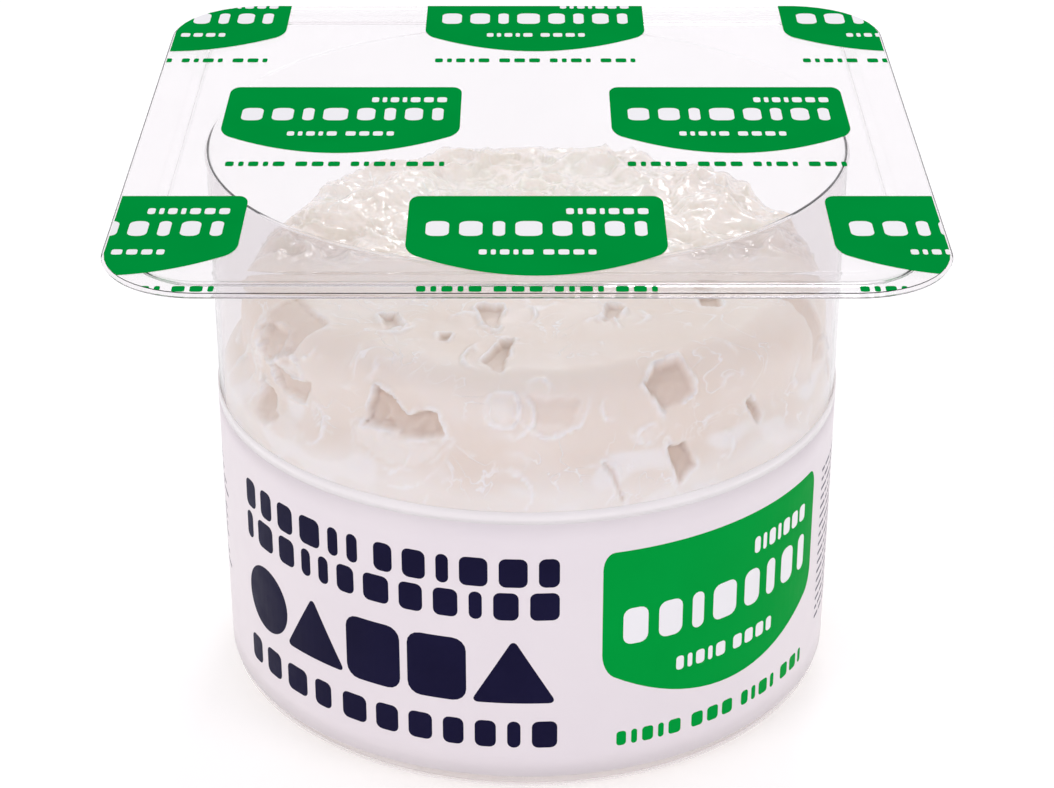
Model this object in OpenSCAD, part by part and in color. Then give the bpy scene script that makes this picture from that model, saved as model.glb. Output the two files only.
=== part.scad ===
// Clear thermoformed tub of fresh goat cheese: a round deep-drawn cup with a square flange,
// a clear lid film sealed flat on it, a paper-like wrap label, and the drained cheese inside.
// Millimetres, +Z up. The origin is the centre of the ring that the tub stands on.

/* [Tub] */
// Height of the flange's top face above the table
tub_h = 65.85; // [54:0.05:80]
// Outer radius of the wall just under the flange
wall_r_top = 36.6; // [30:0.1:44]
// How much narrower the wall is just above the base
wall_draft = 0.4; // [0:0.1:2]
// Thickness of the formed sheet
sheet_t = 0.6; // [0.4:0.05:1]
// Outer radius of the bend between wall and base
base_bend_r = 2; // [1.2:0.1:4]
// Outer radius of the bend between wall and flange
mouth_bend_r = 0.8; // [0.4:0.1:1.4]
// Width of the ring that the tub stands on
foot_w = 4; // [2:0.5:8]
// Height of the raised middle of the base
base_rise = 1; // [0.4:0.1:2]

/* [Flange] */
// Width that the flange adds beyond the wall at the middle of each side
flange_margin = 7.4; // [7:0.1:12]
// Radius of the flange's corners
flange_corner_r = 10.7; // [8:0.1:16]
// Distance from the flange's edge to the stiffening groove
groove_inset = 3.2; // [2.2:0.1:3.6]
// Width of the stiffening groove
groove_w = 2; // [1:0.1:2.4]
// Depth of the stiffening groove
groove_depth = 0.8; // [0.4:0.1:1.4]

/* [Lid film] */
// Thickness of the lid film
film_t = 0.15; // [0.1:0.01:0.3]
// Distance from the flange's edge to the film's edge
film_inset = 0.15; // [0:0.05:1]

/* [Label] */
// Height of the label's lower edge above the table
label_z0 = 2.4; // [2.2:0.1:6]
// Height of the label's upper edge above the table
label_z1 = 35.1; // [25:0.1:45]
// Thickness of the label
label_t = 0.15; // [0.1:0.01:0.3]
// Angle of the open seam at the back
label_seam = 1.5; // [0.5:0.5:10]

/* [Cheese] */
// Average gap between the cheese and the foot of the wall
cheese_gap = 1.3; // [1.2:0.1:6]
// Free height between the cheese and the lid film
head_space = 14.85; // [4:0.05:20]
// Sideways shift of the cheese within the tub
cheese_shift = 0.75; // [0:0.05:0.8]
// Radius of the rounded upper edge
shoulder_r = 5; // [3:0.5:8]
// Radius of the rounded lower edge
lower_edge_r = 2.5; // [1.5:0.5:5]
// Largest outward swelling of the side
side_swell = 0.3; // [0:0.05:0.35]
// Height of the curds on the rough part of the top
curd_h = 1.1; // [0:0.1:1.6]

/* [Hidden] */
$fn = 96;

// Clearance between the tub's wall and the label around it
label_gap = 0.05;
// Outer radius of the wall just above the base
wall_r_base = wall_r_top - wall_draft;
// Width of the square flange over its flats
flange_w = 2 * (wall_r_top + flange_margin);
// Radius of the mouth bend's outer end, where the flange begins
mouth_r = wall_r_top + mouth_bend_r;
// Height at which the straight wall ends and the mouth bend begins
wall_z1 = tub_h - sheet_t - mouth_bend_r;
// Slope of the wall, outwards with height
wall_slope = (wall_r_top - wall_r_base) / (wall_z1 - base_bend_r);
// The stiffening groove's sides are as thick as the rest of the drawn sheet
groove_side_t = 0.5;
// Height of the cheese's underside above the table
cheese_z = sheet_t + base_rise;
// Height of the cheese above its underside
cheese_h = tub_h - head_space - cheese_z;
// Radius of the cheese
cheese_r = wall_r_base - sheet_t - cheese_gap;

// Steps of the cheese's mesh round the axis, up the side, round an edge and in across the top
around = 96;
side_steps = 17;
edge_steps = 4;
top_steps = 11;

// Holes in the cheese's side: angle from the front, drop from the top, half width,
// half height, depth
side_holes = [
    [-64, 10, 5, 5, 2.4],
    [-24, 5, 5.2, 3.2, 3],
    [-5, 3, 2.4, 2.4, 1],
    [25, 2, 4, 3.4, 2],
    [44, 8, 2, 2.4, 1.6],
    [28, 13, 3, 3.4, 1.8],
    [12, 13.4, 2.6, 2.6, 1],
    [-5, 13, 3, 2.6, 1],
    [78, 9, 4, 4, 1.6],
    [120, 27, 3.4, 3, 1.6],
    [168, 11, 4, 3, 2],
    [205, 23, 3, 3.4, 1.6],
    [235, 7, 4, 3.4, 1.8]
];

// Holes in the cheese's top: place across and towards the back, each as a share of the radius,
// then half width, half length and depth
top_holes = [
    [-0.48, -0.55, 2.4, 3.6, 1.6],
    [-0.13, -0.53, 2.6, 4, 2],
    [-0.09, -0.79, 2.2, 4, 2],
    [0.6, -0.35, 2.4, 3.6, 2],
    [-0.79, -0.18, 3, 4, 1.6],
    [0.23, -0.44, 2, 3, 0.8]
];

// Points of an arc about [cx, cy] from angle a0 to a1
function arc(cx, cy, r, a0, a1, n = 8) =
    [for (i = [0 : n]) let (a = a0 + (a1 - a0) * i / n) [cx + r * cos(a), cy + r * sin(a)]];

// Outer radius of the tub's wall at height z
function wall_r(z) = wall_r_base + wall_slope * (z - base_bend_r);

// Flat square with round corners, drawn inset from the flange's own outline
module rounded_square(inset) {
    half = flange_w / 2 - inset;
    r = flange_corner_r - inset;
    square([2 * half, 2 * (half - r)], center = true);
    square([2 * (half - r), 2 * half], center = true);
    for (x = [-1, 1], y = [-1, 1])
        translate([x * (half - r), y * (half - r)]) circle(r);
}

// Band that follows the flange's outline, between two insets
module flange_band(inset, w) {
    difference() {
        rounded_square(inset);
        rounded_square(inset + w);
    }
}

// Cross-section of the drawn cup, from the raised middle of its base out to the mouth's bend
module cup_section() {
    inner_bend_r = base_bend_r - sheet_t;
    foot_in = wall_r_base - base_bend_r - foot_w;
    slope_in = foot_in + sheet_t * (sqrt(2) - 1);
    polygon(concat(
        [[0, base_rise], [foot_in - base_rise, base_rise], [foot_in, 0]],
        arc(wall_r_base - base_bend_r, base_bend_r, base_bend_r, -90, 0),
        arc(mouth_r, wall_z1, mouth_bend_r, 180, 90),
        arc(mouth_r, wall_z1, mouth_bend_r + sheet_t, 90, 180),
        arc(wall_r_base - base_bend_r, base_bend_r, inner_bend_r, 0, -90),
        [[slope_in, sheet_t], [slope_in - base_rise, base_rise + sheet_t],
            [0, base_rise + sheet_t]]
    ));
}

// Square flange with its stiffening groove pressed down into it
module flange() {
    translate([0, 0, tub_h - sheet_t]) linear_extrude(sheet_t) difference() {
        rounded_square(0);
        flange_band(groove_inset, groove_w);
        circle(mouth_r);
    }
    translate([0, 0, tub_h - groove_depth - groove_side_t]) linear_extrude(groove_side_t)
        flange_band(groove_inset - groove_side_t, groove_w + 2 * groove_side_t);
    translate([0, 0, tub_h - groove_depth - groove_side_t])
        linear_extrude(groove_depth + groove_side_t) {
            flange_band(groove_inset - groove_side_t, groove_side_t);
            flange_band(groove_inset + groove_w, groove_side_t);
        }
}

// Deep-drawn clear tub: round cup and square flange in one sheet
module tub() {
    color([0.93, 0.95, 0.97, 0.35]) {
        rotate_extrude() cup_section();
        flange();
    }
}

// Clear film sealed flat on the flange
module lid_film() {
    color([0.95, 0.97, 0.96, 0.3])
        translate([0, 0, tub_h]) linear_extrude(film_t) rounded_square(film_inset);
}

// Label wrapped round the lower half of the wall, its seam at the back
module label() {
    inner0 = wall_r(label_z0) + label_gap;
    inner1 = wall_r(label_z1) + label_gap;
    color([0.94, 0.92, 0.96])
        rotate([0, 0, 90 + label_seam / 2]) rotate_extrude(angle = 360 - label_seam)
            polygon([[inner0, label_z0], [inner0 + label_t, label_z0],
                [inner1 + label_t, label_z1], [inner1, label_z1]]);
}

// Profile of the cheese as [radius, height, outward normal across, outward normal up]
cheese_profile = concat(
    [for (i = [0 : edge_steps]) let (a = -90 + 90 * i / edge_steps)
        [cheese_r - lower_edge_r + lower_edge_r * cos(a), lower_edge_r + lower_edge_r * sin(a),
            cos(a), sin(a)]],
    [for (i = [1 : side_steps]) let (t = i / (side_steps + 1))
        [cheese_r, lower_edge_r + t * (cheese_h - lower_edge_r - shoulder_r), 1, 0]],
    [for (i = [0 : edge_steps]) let (a = 90 * i / edge_steps)
        [cheese_r - shoulder_r + shoulder_r * cos(a), cheese_h - shoulder_r + shoulder_r * sin(a),
            cos(a), sin(a)]],
    [for (i = [1 : top_steps]) let (t = i / (top_steps + 1))
        [(cheese_r - shoulder_r) * (1 - t), cheese_h, 0, 1]]
);

// Smooth bump from 1 at the middle to 0 at distance 1
function bump(d) = d >= 1 ? 0 : pow(1 - d * d, 2);

// Difference between two angles, folded to -180..180
function turn(a, b) = let (d = (a - b) % 360) d > 180 ? d - 360 : (d < -180 ? d + 360 : d);

// Depth of the holes at angle a from the front and a drop below the cheese's top
function side_dent(a, drop) = max([for (h = side_holes)
    let (across = turn(a, h[0]) * PI / 180 * cheese_r / h[2], up = (drop - h[1]) / h[3])
        h[4] * bump(sqrt(across * across + up * up))]);

// Depth of the holes at [x, y] on the top
function top_dent(x, y) = max([for (h = top_holes)
    let (across = (x - h[0] * cheese_r) / h[2], along = (y - h[1] * cheese_r) / h[3])
        h[4] * bump(sqrt(across * across + along * along))]);

// Slow swelling of the side, always within side_swell
function side_wave(a, z) = side_swell *
    (0.5 * sin(3 * a + 40) + 0.3 * sin(5 * a - 9 * z) + 0.2 * sin(9 * a + 14 * z + 70));

// Curds on the top, at full height in the back half and low in the front
function curds(x, y) =
    let (back = min(1, max(0.15, (y + 8) / 12)))
        curd_h * back * (0.5 * sin(28 * x + 17 * y) * sin(23 * y - 11 * x + 30)
            + 0.3 * sin(47 * x - 25 * y + 80) + 0.2 * sin(61 * y + 33 * x));

// Point of the cheese for one step round and one entry of the profile
function cheese_point(i, p) =
    let (
        a = 360 * i / around,
        x = p[0] * sin(a),
        y = -p[0] * cos(a),
        out = p[2] * (side_wave(a, p[1]) - side_dent(a, cheese_h - p[1])),
        up = p[3] > 0 ? p[3] * (curds(x, y) - top_dent(x, y)) : 0
    )
        [x + (out + p[2] * up) * sin(a), y - (out + p[2] * up) * cos(a),
            p[1] + max(0, p[3]) * (up + out)];

// Drained fresh cheese: one solid from its flat underside to its rough top
module cheese() {
    rings = len(cheese_profile);
    points = concat(
        [for (p = cheese_profile, i = [0 : around - 1]) cheese_point(i, p)],
        [[0, 0, 0], [0, 0, cheese_h + curds(0, 0)]]
    );
    bottom = rings * around;
    faces = concat(
        [for (k = [0 : rings - 2], i = [0 : around - 1])
            let (j = (i + 1) % around) [k * around + i, (k + 1) * around + j, k * around + j]],
        [for (k = [0 : rings - 2], i = [0 : around - 1])
            let (j = (i + 1) % around) [k * around + i, (k + 1) * around + i, (k + 1) * around + j]],
        [for (i = [0 : around - 1]) [bottom, i, (i + 1) % around]],
        [for (i = [0 : around - 1])
            [bottom + 1, (rings - 1) * around + (i + 1) % around, (rings - 1) * around + i]]
    );
    color([0.91, 0.87, 0.85])
        translate([cheese_shift, 0, cheese_z]) polyhedron(points, faces);
}

tub();
lid_film();
label();
cheese();
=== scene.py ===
"""Sealed clear tub of fresh goat cheese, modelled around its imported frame.

The formed tub, its lid film, the wrap label, the print and the cheese are each a class that
builds its own meshes. The finishes are small classes of their own. Metres throughout, +Z up.
"""

import logging
import math
import random
from dataclasses import dataclass, field
from enum import Enum
from typing import Callable, Sequence

import bmesh
import bpy
from mathutils import Matrix, Vector, noise


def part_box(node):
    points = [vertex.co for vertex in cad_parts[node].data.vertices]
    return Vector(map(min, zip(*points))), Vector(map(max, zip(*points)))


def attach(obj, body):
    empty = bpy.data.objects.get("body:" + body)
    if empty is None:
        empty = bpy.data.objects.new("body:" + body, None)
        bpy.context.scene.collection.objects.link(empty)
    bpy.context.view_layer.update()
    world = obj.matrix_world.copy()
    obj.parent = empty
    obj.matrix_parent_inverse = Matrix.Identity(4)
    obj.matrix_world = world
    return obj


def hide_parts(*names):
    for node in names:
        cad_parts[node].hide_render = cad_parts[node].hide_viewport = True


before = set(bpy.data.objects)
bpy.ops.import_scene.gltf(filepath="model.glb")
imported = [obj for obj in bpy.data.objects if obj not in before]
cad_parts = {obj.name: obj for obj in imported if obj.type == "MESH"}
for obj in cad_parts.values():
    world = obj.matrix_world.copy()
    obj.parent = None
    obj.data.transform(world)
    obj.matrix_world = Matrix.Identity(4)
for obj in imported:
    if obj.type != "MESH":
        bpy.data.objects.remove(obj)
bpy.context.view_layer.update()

MM = 0.001
LOG = logging.getLogger("cheese_tub")
Colour = tuple[float, float, float]
Station = Callable[[float], Vector]


class Slot(Enum):
    """The record's material slots."""

    TUB = "tub_plastic"
    FILM = "lid_film"
    LABEL = "label"
    CHEESE = "cheese"
    GREEN = "print_green"
    NAVY = "print_navy"
    WHITE = "print_white"


class Ground(Enum):
    """The face of the cheese that a hole or ridge is set in."""

    SIDE = "side"
    TOP = "top"


# --------------------------------------------------------------------------- finishes


class Wiring:
    """Short calls for wiring the nodes of one material or sky."""

    def __init__(self, owner: bpy.types.Material | bpy.types.World) -> None:
        """Starts with an empty node tree.

        Args:
            owner: the material or world to wire.
        """
        owner.use_nodes = True
        self.owner = owner
        self.tree = owner.node_tree
        self.tree.nodes.clear()
        self.way = self.add("ShaderNodeTexCoord")
        self.place = self.way.outputs["Object"]

    def add(self, kind: str, settings: dict | None = None, **inputs: object) -> bpy.types.Node:
        """Adds a node.

        Args:
            kind: the node's type.
            settings: attributes to set on the node.
            inputs: socket names, with spaces as underscores, and their values or feeding sockets.

        Returns:
            The new node.
        """
        node = self.tree.nodes.new(kind)
        for key, value in (settings or {}).items():
            setattr(node, key, value)
        for key, value in inputs.items():
            self.feed(node.inputs[key.replace("_", " ")], value)
        return node

    def feed(self, socket: bpy.types.NodeSocket, value: object) -> None:
        """Links a socket to value, or sets it to value where that is plain."""
        if isinstance(value, bpy.types.NodeSocket):
            self.tree.links.new(value, socket)
        elif isinstance(value, tuple) and len(value) == 3 and socket.type == "RGBA":
            socket.default_value = (*value, 1.0)
        else:
            socket.default_value = value

    def noise(self, size: float, detail: float = 3.0, warp: float = 0.0) -> bpy.types.NodeSocket:
        """A cloudy pattern.

        Args:
            size: width of its largest blotches.
            detail: octaves of finer pattern.
            warp: how far the pattern bends itself.

        Returns:
            The pattern's value socket, about 0.3 to 0.7.
        """
        node = self.add(
            "ShaderNodeTexNoise", Vector=self.place, Scale=1.0 / size, Detail=detail, Distortion=warp
        )
        return node.outputs["Fac"]

    def spread(self, value: object, low: float, high: float) -> bpy.types.NodeSocket:
        """Maps a noise value onto a range."""
        node = self.add(
            "ShaderNodeMapRange", Value=value, From_Min=0.3, From_Max=0.7, To_Min=low, To_Max=high
        )
        return node.outputs["Result"]

    def blend(self, share: object, one: object, two: object) -> bpy.types.NodeSocket:
        """Mixes two colours.

        Args:
            share: how much of the second, plain or a socket.
            one: the first colour.
            two: the second colour.

        Returns:
            The mixed colour's socket.
        """
        node = self.add("ShaderNodeMix", {"data_type": "RGBA"})
        self.feed(node.inputs[0], share)
        self.feed(node.inputs[6], one)
        self.feed(node.inputs[7], two)
        return node.outputs[2]

    def lines(self, size: float, width: float) -> bpy.types.NodeSocket:
        """Thin winding lines, 1 on a line and 0 beside it.

        Args:
            size: width of the loops they make.
            width: the lines' width, as a share of the pattern's range.

        Returns:
            The pattern's value socket.
        """
        away = self.reckon("ABSOLUTE", self.reckon("SUBTRACT", self.noise(size, 2.5, 1.6), 0.5))
        node = self.add(
            "ShaderNodeMapRange", Value=away, From_Min=0.0, From_Max=width, To_Min=1.0, To_Max=0.0
        )
        return node.outputs["Result"]

    def reckon(self, operation: str, *values: object, clamp: bool = False) -> bpy.types.NodeSocket:
        """Works out one step of arithmetic.

        Args:
            operation: what is done with the values.
            values: the values, each plain or a socket.
            clamp: whether the result is kept from 0 to 1.

        Returns:
            The result's socket.
        """
        node = self.add("ShaderNodeMath", {"operation": operation, "use_clamp": clamp})
        for socket, value in zip(node.inputs, values):
            self.feed(socket, value)
        return node.outputs[0]

    def product(self, one: object, two: object) -> bpy.types.NodeSocket:
        """Multiplies two values."""
        return self.reckon("MULTIPLY", one, two)

    def scaled(self, value: object, factor: float, offset: object) -> bpy.types.NodeSocket:
        """A value times a factor plus an offset, each plain or a socket."""
        return self.reckon("MULTIPLY_ADD", value, factor, offset)

    def bump(self, height: object, depth: float, strength: float = 1.0) -> bpy.types.NodeSocket:
        """Normals of a relief.

        Args:
            height: the relief's height socket.
            depth: its depth in metres.
            strength: its strength.

        Returns:
            The normal socket.
        """
        node = self.add("ShaderNodeBump", Strength=strength, Distance=depth, Height=height)
        return node.outputs["Normal"]

    def show(self, shader: bpy.types.NodeSocket) -> bpy.types.Material:
        """Ends the material in shader."""
        self.add("ShaderNodeOutputMaterial", Surface=shader)
        return self.owner


@dataclass(frozen=True)
class ClearSheet:
    """Clear glossy plastic sheet that lamps shine through.

    Args:
        name: the material's name.
        tint: colour that one thickness of sheet leaves of white light.
        haze: roughness of its clearest parts.
        ior: how strongly it bends light.
        ripple: depth of the waves drawn into its surface.
        ripple_size: width of those waves.
    """

    name: str
    tint: Colour
    haze: float
    ior: float
    ripple: float
    ripple_size: float

    def material(self) -> bpy.types.Material:
        """Builds the finish."""
        w = Wiring(bpy.data.materials.new(self.name))
        wave = w.noise(self.ripple_size, 1.0, 0.4)
        smear = w.noise(self.ripple_size * 0.6, 3.0)
        shader = w.add(
            "ShaderNodeBsdfPrincipled",
            Base_Color=w.blend(w.spread(smear, 0.0, 1.0), self.tint, tuple(c * 0.985 for c in self.tint)),
            Roughness=w.spread(smear, self.haze, self.haze + 0.03),
            IOR=self.ior,
            Transmission_Weight=1.0,
            Normal=w.bump(wave, self.ripple),
        )
        lamps = w.add("ShaderNodeBsdfTransparent", Color=self.tint)
        mix = w.add("ShaderNodeMixShader", Fac=w.add("ShaderNodeLightPath").outputs["Is Shadow Ray"])
        w.feed(mix.inputs[1], shader.outputs[0])
        w.feed(mix.inputs[2], lamps.outputs[0])
        return w.show(mix.outputs[0])


@dataclass(frozen=True)
class Printed:
    """Ink or printed sheet with a satin face and a slight mottle.

    Args:
        name: the material's name.
        colour: its main colour.
        mottled: the colour of its slightly different patches.
        gloss: roughness of its smoothest parts.
        mirror: strength of its reflections, 0.5 for plain plastic.
        glow: how much of the light goes through it rather than off it.
    """

    name: str
    colour: Colour
    mottled: Colour
    gloss: float
    mirror: float
    glow: float = 0.0

    def material(self) -> bpy.types.Material:
        """Builds the finish."""
        w = Wiring(bpy.data.materials.new(self.name))
        patches = w.noise(9 * MM, 2.0)
        tooth = w.noise(0.25 * MM, 2.0)
        shader = w.add(
            "ShaderNodeBsdfPrincipled",
            Base_Color=w.blend(w.spread(patches, 0.0, 1.0), self.colour, self.mottled),
            Roughness=w.spread(w.noise(2 * MM), self.gloss, self.gloss + 0.12),
            Specular_IOR_Level=self.mirror,
            Subsurface_Weight=self.glow,
            Subsurface_Radius=(1.0, 1.0, 1.0),
            Subsurface_Scale=0.4 * MM,
            Normal=w.bump(tooth, 0.006 * MM),
        )
        return w.show(shader.outputs[0])


@dataclass(frozen=True)
class FreshCheese:
    """Moist white curd: milky, glossy where wet and wrinkled where torn, with painted shade in its holes
    and creases and pale ridges that are partly painted highlight.

    Args:
        name: the material's name.
        curd: colour of most of it.
        pale: colour of its paler patches.
        lip: colour of thin ridges and smears, partly the curd's own paler film, partly painted highlight
            on raised curd and painted light on the curd pressed to the wall.
        hollow: colour of the painted shade down in the holes and in the creases of the torn top.
    """

    name: str
    curd: Colour
    pale: Colour
    lip: Colour
    hollow: Colour

    def material(self) -> bpy.types.Material:
        """Builds the finish."""
        w = Wiring(bpy.data.materials.new(self.name))
        marks = {
            name: w.add("ShaderNodeAttribute", {"attribute_name": name}).outputs["Fac"]
            for name in ("hollow", "rim", "wet")
        }
        clouds = w.spread(w.noise(13 * MM, 4.0, 0.8), -0.1, 1.0)
        streaks = w.product(w.lines(6.5 * MM, 0.02), w.spread(w.noise(7 * MM, 2.0), -1.2, 1.8))
        # pale ridges, lips, smears and wrinkle lines: partly the curd's own paler film, partly painted
        # highlight on raised curd
        raised = w.reckon("MAXIMUM", w.product(streaks, 0.8), marks["rim"], clamp=True)
        skin = w.blend(raised, w.blend(clouds, self.curd, self.pale), self.lip)
        wrinkles = w.scaled(w.noise(1.4 * MM, 3.0, 1.8), 0.04, w.noise(5.5 * MM, 2.5, 1.6))
        swells = w.product(wrinkles, w.scaled(marks["wet"], 2.0, 0.35))
        relief = w.scaled(raised, 0.4, swells)
        dry = w.scaled(marks["wet"], -0.3, w.spread(w.noise(4 * MM, 3.0), 0.4, 0.55))
        shader = w.add(
            "ShaderNodeBsdfPrincipled",
            # painted shade in the holes and in the creases of the torn top
            Base_Color=w.blend(marks["hollow"], skin, self.hollow),
            Roughness=dry,
            IOR=1.38,
            Subsurface_Weight=0.3,
            Subsurface_Radius=(1.0, 0.8, 0.65),
            Subsurface_Scale=1.4 * MM,
            Coat_Weight=w.scaled(marks["wet"], 0.85, 0.03),
            Coat_Roughness=0.06,
            Coat_IOR=1.45,
            Normal=w.bump(relief, 0.1 * MM),
        )
        return w.show(shader.outputs[0])


@dataclass(frozen=True)
class StudioPaper:
    """Matte pale paper of the floor.

    Args:
        name: the material's name.
        colour: its colour.
    """

    name: str
    colour: Colour

    def material(self) -> bpy.types.Material:
        """Builds the finish."""
        w = Wiring(bpy.data.materials.new(self.name))
        shader = w.add(
            "ShaderNodeBsdfPrincipled",
            Base_Color=w.blend(w.noise(0.3, 2.0), self.colour, tuple(c * 0.99 for c in self.colour)),
            Roughness=0.9,
            Specular_IOR_Level=0.1,
            Emission_Color=(1.0, 1.0, 1.0),
            Emission_Strength=0.12,
            Normal=w.bump(w.noise(0.8 * MM), 0.01 * MM),
        )
        return w.show(shader.outputs[0])


TUB_PLASTIC = ClearSheet("tub_plastic", (0.89, 0.872, 0.878), 0.015, 1.1, 0.05 * MM, 16 * MM)
FILM_PLASTIC = ClearSheet("lid_film_plastic", (0.995, 0.995, 0.995), 0.0, 1.16, 0.04 * MM, 20 * MM)
LABEL_STOCK = Printed("label_stock", (0.77, 0.72, 0.75), (0.755, 0.705, 0.74), 0.38, 0.3, 0.3)
FILM_GREEN = Printed("film_green_ink", (0.0, 0.285, 0.044), (0.0, 0.27, 0.041), 0.34, 0.0)
LABEL_GREEN = Printed("label_green_ink", (0.0, 0.33, 0.046), (0.0, 0.315, 0.043), 0.34, 0.01)
NAVY_INK = Printed("navy_ink", (0.008, 0.007, 0.035), (0.006, 0.005, 0.028), 0.34, 0.05)
SMALL_INK = Printed("small_print_ink", (0.13, 0.12, 0.16), (0.11, 0.1, 0.14), 0.34, 0.05)
WHITE_INK = Printed("white_ink", (0.86, 0.86, 0.88), (0.84, 0.84, 0.86), 0.35, 0.2)
# the hollow colour is painted shade; the lip colour is partly painted highlight
CURD = FreshCheese(
    "fresh_curd", (0.88, 0.795, 0.71), (0.92, 0.865, 0.805), (0.99, 0.98, 0.96), (0.75, 0.635, 0.545)
)
# milky band above the label: partly its margin, partly painted light over the shaded gap behind it
MILKY_MARGIN_AND_PAINTED_LIGHT = Printed("milky_margin_and_painted_light", (0.8, 0.775, 0.785), (0.77, 0.745, 0.755), 0.3, 0.4, 0.5)
PAPER = StudioPaper("studio_paper", (0.975, 0.975, 0.975))


# --------------------------------------------------------------------------- making pieces


@dataclass
class Maker:
    """Turns finished meshes into pieces that ride on the frame."""

    dressed: dict[str, bpy.types.Material] = field(default_factory=dict)

    def finish(self, look: ClearSheet | Printed | FreshCheese | StudioPaper) -> bpy.types.Material:
        """Builds a finish once and returns it each time."""
        if look.name not in self.dressed:
            self.dressed[look.name] = look.material()
        return self.dressed[look.name]

    def obj(self, name: str, bm: bmesh.types.BMesh, material: bpy.types.Material) -> bpy.types.Object:
        """Makes an object of a mesh at the origin.

        Args:
            name: the object's name.
            bm: the finished mesh, freed here.
            material: its one material.

        Returns:
            The linked object.
        """
        mesh = bpy.data.meshes.new(name)
        bm.to_mesh(mesh)
        bm.free()
        mesh.materials.append(material)
        made = bpy.data.objects.new(name, mesh)
        bpy.context.scene.collection.objects.link(made)
        return made

    def piece(
        self,
        name: str,
        bm: bmesh.types.BMesh,
        look: ClearSheet | Printed | FreshCheese,
        slot: Slot,
        node: str | None = None,
        smooth: bool = True,
        shades: bool = True,
    ) -> bpy.types.Object:
        """Makes a piece of the object and rides it on the frame.

        Args:
            name: the piece's name.
            bm: its mesh.
            look: its finish.
            slot: its material slot in the record.
            node: the CAD node that it stands for, if any.
            smooth: whether its faces are shaded smooth.
            shades: whether it casts a shadow, False for thin stock that light gets through.

        Returns:
            The piece.
        """
        made = self.obj(name, bm, self.finish(look))
        if smooth:
            made.data.shade_smooth()
        made.visible_shadow = shades
        made.visible_diffuse = slot is Slot.CHEESE  # clear and thin pieces send no light back
        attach(made, "root")
        if node:
            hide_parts(node)
        LOG.info("%s: %d faces", name, len(made.data.polygons))
        return made


def wall(piece: bpy.types.Object, thickness: float, side: float) -> None:
    """Gives an open sheet its thickness.

    Args:
        piece: the sheet.
        thickness: its thickness.
        side: 1 to grow along its normals, -1 against them.
    """
    solid = piece.modifiers.new("wall", "SOLIDIFY")
    solid.thickness = thickness
    solid.offset = side
    solid.use_even_offset = True


def level_disc(radius: float, z: float, around: int, filled: bool = True) -> bmesh.types.BMesh:
    """A new mesh with a level disc or ring round the Z axis.

    Args:
        radius: its radius.
        z: its height.
        around: number of its corners.
        filled: whether it has a face.

    Returns:
        The mesh.
    """
    bm = bmesh.new()
    bmesh.ops.create_circle(bm, cap_ends=filled, segments=around, radius=radius)
    bmesh.ops.translate(bm, verts=bm.verts[:], vec=(0, 0, z))
    return bm


def sweep(points: Sequence[Vector], turn: float, steps: int, closed: bool) -> bmesh.types.BMesh:
    """A new mesh of a section swept round the Z axis.

    Args:
        points: the section's points.
        turn: how far round it goes, in radians.
        steps: number of steps.
        closed: whether its end joins its start.

    Returns:
        The mesh.
    """
    bm = bmesh.new()
    line = [bm.verts.new(point) for point in points]
    edges = [bm.edges.new(pair) for pair in zip(line, line[1:])]
    bmesh.ops.spin(
        bm,
        geom=line + edges,
        cent=(0, 0, 0),
        axis=(0, 0, 1),
        angle=turn,
        steps=steps,
        use_merge=closed,
    )
    return bm


def turn_out(bm: bmesh.types.BMesh, probe: bmesh.types.BMFace, away: Vector) -> None:
    """Makes all faces look the same way out.

    Args:
        bm: the mesh.
        probe: one of its faces.
        away: a direction that the probe looks along.
    """
    bmesh.ops.recalc_face_normals(bm, faces=bm.faces[:])
    if probe.normal.dot(away) < 0:
        bmesh.ops.reverse_faces(bm, faces=bm.faces[:])


def loft(bm: bmesh.types.BMesh, rim: Sequence[bmesh.types.BMEdge], stations: Sequence[Station]) -> None:
    """Draws a closed rim out through stations round the Z axis.

    Args:
        bm: the mesh.
        rim: the closed loop of edges to draw out.
        stations: for each new loop, the point at each angle about Z.
    """
    for station in stations:
        grown = bmesh.ops.extrude_edge_only(bm, edges=list(rim))["geom"]
        fresh = {g for g in grown if isinstance(g, bmesh.types.BMVert)}
        for vert in fresh:
            vert.co = station(math.atan2(vert.co.y, vert.co.x))
        rim = [g for g in grown if isinstance(g, bmesh.types.BMEdge) and set(g.verts) <= fresh]


def ring_at(radius: float, z: float) -> Station:
    """A level circle as a loft station."""
    return lambda angle: Vector((radius * math.cos(angle), radius * math.sin(angle), z))


def rounded_square(half: float, corner: float, z: float) -> Station:
    """A level square with round corners as a loft station.

    Args:
        half: half its width.
        corner: its corners' radius.
        z: its height.

    Returns:
        The point at each angle about Z.
    """

    def at(angle: float) -> Vector:
        """The outline's point at an angle about Z."""
        across, along = abs(math.cos(angle)), abs(math.sin(angle))
        reach = half / max(across, along)
        core = half - corner
        if reach * min(across, along) > core:
            middle = core * (across + along)
            reach = middle + math.sqrt(middle * middle - 2 * core * core + corner * corner)
        return Vector((reach * math.cos(angle), reach * math.sin(angle), z))

    return at


def arc_stations(
    radius: float, z: float, bend: float, start: float, end: float, steps: int
) -> list[Station]:
    """Stations of a bend round the axis.

    Args:
        radius: distance of the bend's centre from the axis.
        z: height of the bend's centre.
        bend: the bend's own radius.
        start: first angle in degrees.
        end: last angle in degrees.
        steps: number of steps.

    Returns:
        The stations, both ends included.
    """
    turns = [math.radians(start + (end - start) * i / steps) for i in range(steps + 1)]
    return [ring_at(radius + bend * math.cos(t), z + bend * math.sin(t)) for t in turns]


# --------------------------------------------------------------------------- tub and film


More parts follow.
